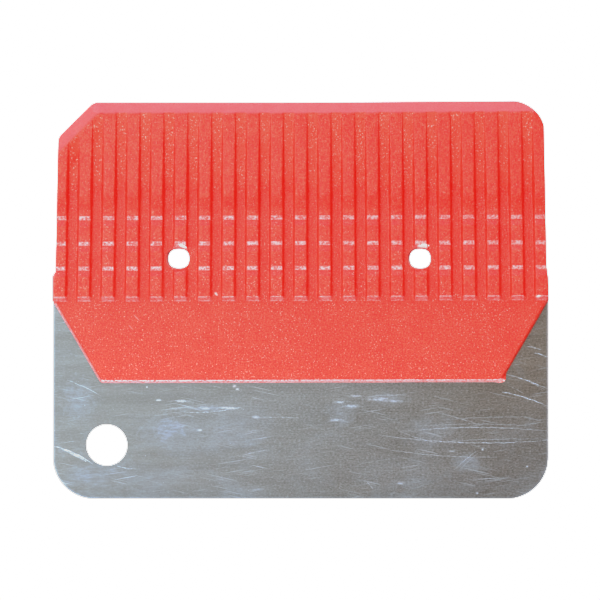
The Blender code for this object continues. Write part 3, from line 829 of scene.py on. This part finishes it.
def brushed_steel():
    """Rolled steel, brushed along the blade, with haze, smears and scratches."""
    mat, n, bsdf = new_material("brushed_steel")
    p = n.place()
    # the back face carries the same kind of marks in other places
    sides = n.add("ShaderNodeSeparateXYZ")
    n.put(sides.inputs[0], p)
    behind = n.math("GREATER_THAN", sides.outputs[1], 0.0)
    flip = n.math("SUBTRACT", 1.0, n.math("MULTIPLY", behind, 2.0))
    join = n.add("ShaderNodeCombineXYZ")
    n.put(join.inputs[0], n.math("ADD", n.math("MULTIPLY", sides.outputs[0], flip), n.math("MULTIPLY", behind, 9.0)))
    n.put(join.inputs[2], n.math("SUBTRACT", sides.outputs[2], n.math("MULTIPLY", behind, 4.0)))
    q = join.outputs[0]
    # brushing: long fine streaks along X
    streak = n.noise(n.stretch(q, (0.10, 1.0, 5.2)), 1.0, 4.0, 0.62)
    fine = n.noise(n.stretch(q, (0.35, 1.0, 11.0)), 1.0, 2.0, 0.5)
    broad = n.noise(n.stretch(q, (0.03, 1.0, 0.35)), 1.0, 3.0, 0.5)
    cloud = n.noise(q, 0.09, 4.0, 0.6, 0.6)
    # scratches and haze
    group = scratch_group()
    wobble = n.noise(q, 0.6, 2.0, 0.5)
    shaken = n.vec("ADD", q, n.vec("SCALE", (0.0, 0.0, 1.0), scale=n.math("MULTIPLY", n.math("SUBTRACT", wobble, 0.5), 0.5)))
    broken = n.span(n.noise(n.stretch(q, (1.3, 1.0, 1.3)), 1.0, 2.0, 0.7), 0.38, 0.60)
    marks = None
    for a, b, bow, half, strength in SCRATCHES:
        node = n.add("ShaderNodeGroup", node_tree=group)
        n.put(node.inputs["Place"], shaken)
        ax, az = at(*a)
        bx, bz = at(*b)
        node.inputs["From"].default_value = (ax, 0.0, az)
        node.inputs["To"].default_value = (bx, 0.0, bz)
        node.inputs["Bow"].default_value = bow
        node.inputs["Half"].default_value = 0.9 * half
        one = n.math("MULTIPLY", node.outputs["Mask"], strength)
        marks = one if marks is None else n.math("MAXIMUM", marks, one)
    marks = n.math("MULTIPLY", marks, n.math("ADD", 0.3, n.math("MULTIPLY", broken, 0.7)))
    # many hair scratches in two directions
    for turn, where in ((0.16, 3.0), (-0.22, 11.0)):
        rot = n.add("ShaderNodeVectorRotate", rotation_type="Y_AXIS")
        n.put(rot.inputs["Vector"], n.vec("ADD", q, (where, 0.0, where)))
        rot.inputs["Angle"].default_value = turn
        hair = n.noise(n.stretch(rot.outputs[0], (0.07, 1.0, 3.6)), 1.0, 1.0, 0.4)
        gate = n.span(n.noise(n.stretch(rot.outputs[0], (0.11, 1.0, 0.3)), 1.0, 1.0, 0.5), 0.46, 0.64)
        marks = n.math("MAXIMUM", marks, n.math("MULTIPLY", n.math("MULTIPLY", n.span(hair, 0.63, 0.73), gate), 0.52))
    dots = n.cells(n.vec("ADD", q, (2.0, 0.0, 5.0)), 0.6)
    seldom = n.span(n.noise(q, 0.23, 1.0, 0.5), 0.46, 0.62)
    marks = n.math("MAXIMUM", marks, n.math("MULTIPLY", n.math("MULTIPLY", n.span(dots, 0.08, 0.04), seldom), 0.6))
    along_x = n.add("ShaderNodeSeparateXYZ")
    n.put(along_x.inputs[0], q)
    along_x = along_x.outputs[0]
    haze = None
    ragged = n.noise(q, 0.35, 5.0, 0.68, 0.5)
    for c, wide, high, strength in HAZES:
        cx, cz = at(*c)
        off = n.stretch(n.vec("SUBTRACT", q, (cx, 0.0, cz)), (1.0 / wide, 1.0, 1.0 / high))
        reach = n.math("ADD", n.vec("LENGTH", off), n.math("MULTIPLY", n.math("SUBTRACT", ragged, 0.5), 2.2))
        one = n.span(reach, 1.1, 0.15, 0.0, strength)
        haze = one if haze is None else n.math("MAXIMUM", haze, one)
    drift = n.noise(n.stretch(q, (0.055, 1.0, 0.09)), 1.0, 6.0, 0.62, 0.8)
    low = n.span(sides.outputs[2], 27.0, 13.0, 0.35, 1.0)
    low = n.math("MULTIPLY", low, n.span(along_x, 25.0, -25.0, 0.45, 1.0))
    haze = n.math("MAXIMUM", haze, n.math("MULTIPLY", n.span(drift, 0.40, 0.68, 0.0, 0.7), low))
    haze = n.math("MAXIMUM", haze, n.span(cloud, 0.56, 0.78, 0.0, 0.45))
    thread = n.noise(n.stretch(q, (0.45, 1.0, 2.0)), 1.0, 4.0, 0.7)
    haze = n.math("MULTIPLY", haze, n.span(thread, 0.34, 0.68, 0.35, 1.05))
    # smears and specks
    frayed = n.math("MULTIPLY", n.math("SUBTRACT", n.noise(n.stretch(q, (1.0, 1.0, 3.4)), 1.0, 4.0, 0.75), 0.5), 4.2)
    for spot, wide, high in SMEARS:
        cx, cz = at(*spot)
        off = n.stretch(n.vec("SUBTRACT", q, (cx, 0.0, cz)), (0.8 / wide, 0.0, 0.75 / high))
        ragged_edge = n.math("MULTIPLY", frayed, min(1.0, wide / 1.2))
        one = n.span(n.math("ADD", n.vec("LENGTH", off), ragged_edge), 1.3, 0.0, 0.0, 0.62 if wide > 0.5 else 0.9)
        marks = n.math("MAXIMUM", marks, one)
    # colour
    coarse = n.span(along_x, -50.0, 35.0, 0.28, 1.0)
    tint = n.mix(n.span(broad, 0.35, 0.65), (0.303, 0.295, 0.272, 1), (0.346, 0.339, 0.318, 1))
    tint = n.mix(n.math("MULTIPLY", n.span(streak, 0.36, 0.70, 0.0, 0.55), coarse), tint, (0.46, 0.454, 0.44, 1))
    tint = n.mix(n.span(fine, 0.60, 0.34, 0.0, 0.32), tint, (0.22, 0.212, 0.195, 1))
    # a fine uneven grain over the brushing, painted shade darker and browner towards the right end, and a warmer tint
    # to the upper right
    grit = n.noise(n.stretch(q, (1.7, 1.0, 3.0)), 1.0, 3.0, 0.7)
    tint = n.mix(n.math("MULTIPLY", n.span(grit, 0.50, 0.72), coarse), tint, (0.50, 0.515, 0.53, 1))
    tint = n.mix(n.math("MULTIPLY", n.span(grit, 0.50, 0.28), coarse), tint, (0.19, 0.177, 0.153, 1))
    # painted shade: the steel darker and browner towards the right end
    tint = n.mix(n.span(along_x, -30.0, 60.0), tint, (0.90, 0.83, 0.775, 1), "MULTIPLY")
    warm_upper_right = n.math("MULTIPLY", n.span(along_x, 15.0, 58.0), n.span(sides.outputs[2], 10.0, 34.0))
    tint = n.mix(warm_upper_right, tint, (1.08, 0.99, 0.90, 1), "MULTIPLY")
    tint = n.mix(n.math("MULTIPLY", haze, 0.66), tint, (0.52, 0.56, 0.61, 1))
    tint = n.mix(marks, tint, (0.78, 0.81, 0.85, 1))
    # a painted pale bluish highlight along the blade's outline
    out_x = n.math("MAXIMUM", n.math("SUBTRACT", n.math("ABSOLUTE", sides.outputs[0]), BLADE_W / 2 - BLADE_CORNER_R), 0.0)
    out_z = n.math("MAXIMUM", n.math("SUBTRACT", BLADE_CORNER_R, sides.outputs[2]), 0.0)
    out = n.math("SQRT", n.math("ADD", n.math("MULTIPLY", out_x, out_x), n.math("MULTIPLY", out_z, out_z)))
    tint = n.mix(n.span(out, BLADE_CORNER_R - 0.65, BLADE_CORNER_R, 0.0, 0.5), tint, (0.56, 0.60, 0.66, 1))
    n.put(bsdf.inputs["Base Color"], tint)
    bsdf.inputs["Metallic"].default_value = 1.0
    rough = n.span(streak, 0.3, 0.7, 0.27, 0.33)
    rough = n.math("ADD", rough, n.math("MULTIPLY", haze, 0.22))
    rough = n.math("ADD", rough, n.math("MULTIPLY", marks, 0.35))
    n.put(bsdf.inputs["Roughness"], rough)
    bsdf.inputs["Anisotropic"].default_value = 0.6
    tangent = n.add("ShaderNodeTangent", direction_type="UV_MAP", uv_map="brush")
    n.put(bsdf.inputs["Tangent"], tangent.outputs[0])
    height = n.math("ADD", n.math("MULTIPLY", streak, 0.6), n.math("MULTIPLY", fine, 0.4))
    normal = n.bump(height, 0.000006, 1.0)
    wave = n.noise(n.stretch(q, (0.05, 1.0, 0.09)), 1.0, 2.0, 0.5)
    n.put(bsdf.inputs["Normal"], n.bump(wave, 0.0001, 1.0, normal))
    return mat


# ------------------------------------------------------------------- studio
CAM_X, CAM_Z, CAM_DIST, FRAME_W = -0.146, 48.15, 1270.0, 145.5


WHITE = 1.65                           # scene light that reads as paper white


def make_camera():
    cam = bpy.data.cameras.new("camera")
    cam.sensor_width = 36.0
    cam.lens = 36.0 * CAM_DIST / FRAME_W
    cam.clip_start, cam.clip_end = 0.05, 60.0
    obj = link(bpy.data.objects.new("camera", cam))
    obj.location = (CAM_X * MM, -CAM_DIST * MM, CAM_Z * MM)
    obj.rotation_euler = (math.pi / 2, 0.0, 0.0)
    bpy.context.scene.camera = obj


# light of each part of the room, linear
ROOM = {"panel": (1.95, 2.25, 2.46), "left": (2.2, 2.1, 2.0), "top": (2.3, 3.0, 4.0), "right": (0.30, 0.16, 0.09),
        "side": (2.8, 2.2, 1.95), "back": (1.2, 1.2, 1.2), "top_right": (0.9, 1.0, 1.15)}


def make_world():
    """White surround for the eye.  For light it is a soft room: a pale panel in
    front on the left, brighter from above and from the left, dim on the right."""
    world = bpy.data.worlds.new("studio")
    bpy.context.scene.world = world
    world.use_nodes = True
    n = Nodes(world.node_tree)
    back = world.node_tree.nodes["Background"]
    coord = n.add("ShaderNodeTexCoord")
    d = n.add("ShaderNodeSeparateXYZ")
    n.put(d.inputs[0], coord.outputs["Generated"])
    dx, dy, dz = d.outputs

    def rest(m):
        return n.math("SUBTRACT", 1.0, m)

    behind = n.span(dy, -0.05, 0.35)
    high = n.span(dz, 0.4, 0.9)
    near_left = n.span(dx, 0.026, -0.028)
    far_left = n.span(dx, -0.25, -0.75)
    far_right = n.span(dx, 0.8, 0.95)
    over_left = n.span(dx, 0.35, -0.15)
    ahead = n.math("MULTIPLY", rest(behind), rest(high))
    masks = {"panel": n.math("MULTIPLY", ahead, n.math("MULTIPLY", near_left, rest(far_left))),
             "left": n.math("MULTIPLY", ahead, far_left),
             "right": n.math("MULTIPLY", ahead, n.math("MULTIPLY", rest(near_left), rest(far_right))),
             "side": n.math("MULTIPLY", ahead, far_right),
             "back": n.math("MULTIPLY", behind, rest(high)),
             "top": n.math("MULTIPLY", high, over_left),
             "top_right": n.math("MULTIPLY", high, rest(over_left))}
    total = None
    for name, mask in masks.items():
        part = n.add("ShaderNodeVectorMath", operation="SCALE")
        part.name = "room_" + name
        part.inputs[0].default_value = ROOM[name]
        n.put(part.inputs["Scale"], mask)
        total = part.outputs[0] if total is None else n.vec("ADD", total, part.outputs[0])
    path = n.add("ShaderNodeLightPath")
    n.put(back.inputs["Color"], n.mix(path.outputs["Is Camera Ray"], total, (WHITE, WHITE, WHITE, 1)))
    back.inputs["Strength"].default_value = 1.0


def area_light(name, place, aim, size, size_y, radiance, colour=(1, 1, 1), spread=180.0):
    data = bpy.data.lights.new(name, "AREA")
    data.shape = "RECTANGLE"
    data.size, data.size_y = size, size_y
    data.energy = math.pi * size * size_y * radiance
    data.color = colour
    data.spread = math.radians(spread)
    obj = link(bpy.data.objects.new(name, data))
    obj.location = place
    way = Vector(aim) - Vector(place)
    obj.rotation_mode = "QUATERNION"
    obj.rotation_quaternion = way.to_track_quat("-Z", "Y")
    obj.visible_camera = False
    return obj


def make_floor():
    bm = bmesh.new()
    bmesh.ops.create_grid(bm, x_segments=8, y_segments=8, size=6.0)
    floor = new_mesh("floor", bm)
    floor.location.z = -0.00005
    mat = bpy.data.materials.new("floor_white")
    mat.use_nodes = True
    n = Nodes(mat.node_tree)
    bsdf = mat.node_tree.nodes["Principled BSDF"]
    # for bounced light it is paler on the left, as the room is
    coord = n.add("ShaderNodeTexCoord")
    split = n.add("ShaderNodeSeparateXYZ")
    n.put(split.inputs[0], coord.outputs["Object"])
    n.put(bsdf.inputs["Base Color"], n.mix(n.span(split.outputs[0], 0.14, -0.08), (0.13, 0.10, 0.08, 1), (0.48, 0.47, 0.43, 1)))
    bsdf.inputs["Roughness"].default_value = 0.9
    glow = n.add("ShaderNodeEmission")
    glow.inputs["Strength"].default_value = WHITE
    path = n.add("ShaderNodeLightPath")
    blend = n.add("ShaderNodeMixShader")
    n.put(blend.inputs[0], path.outputs["Is Camera Ray"])
    n.put(blend.inputs[1], bsdf.outputs[0])
    n.put(blend.inputs[2], glow.outputs[0])
    n.put(mat.node_tree.nodes["Material Output"].inputs["Surface"], blend.outputs[0])
    floor.data.materials.append(mat)


def make_tone():
    """Straight response in the darks and mid greys, with a camera's shoulder."""
    view = bpy.context.scene.view_settings
    view.view_transform = "Standard"
    view.look = "None"
    view.use_curve_mapping = True
    curves = view.curve_mapping
    top = 3.0
    curves.white_level = (top, top, top)
    curve = curves.curves[3]
    points = [(0.0, 0.0), (0.20, 0.20), (0.40, 0.415), (0.52, 0.63), (0.64, 0.745), (0.9, 0.785),
              (1.3, 0.825), (1.48, 0.90), (WHITE - 0.03, 1.0), (top, 1.0)]
    curve.points[0].location = (0.0, 0.0)
    curve.points[1].location = (1.0, 1.0)
    for x, y in points[1:-1]:
        curve.points.new(x / top, y)
    for pt in curve.points:
        pt.handle_type = "AUTO_CLAMPED"
    curves.update()


make_camera()
make_tone()
make_world()
make_floor()
blade = build_blade()
blade.data.materials.append(brushed_steel())
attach(blade, "root")
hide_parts("steel_blade")

grip = build_grip()
mark_grip(grip)
grip.data.shade_smooth()
grip.data.set_sharp_from_angle(angle=math.radians(42))
weights = grip.modifiers.new("normals", "WEIGHTED_NORMAL")
weights.mode = "FACE_AREA"
weights.keep_sharp = True
grip.data.materials.clear()
grip.data.materials.append(red_plastic())
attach(grip, "root")
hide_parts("grip")

# two lamps for the moulding alone, so that the steel doesn't mirror them: a key
# from the front, a little left, and a low strip that skims up over the notches
key = area_light("key", (-0.30, -1.0, 0.13), (0.0, -0.004, 0.062), 0.4, 0.4, 8.0, (1.0, 0.92, 0.74))
strip = area_light("low_strip", (0.0, -0.030, 0.002), (0.0, -0.004, 0.050), 0.20, 0.012, 4.4)
reached = bpy.data.collections.new("moulding_only")
reached.objects.link(grip)
for lamp in (key, strip):
    lamp.light_linking.receiver_collection = reached
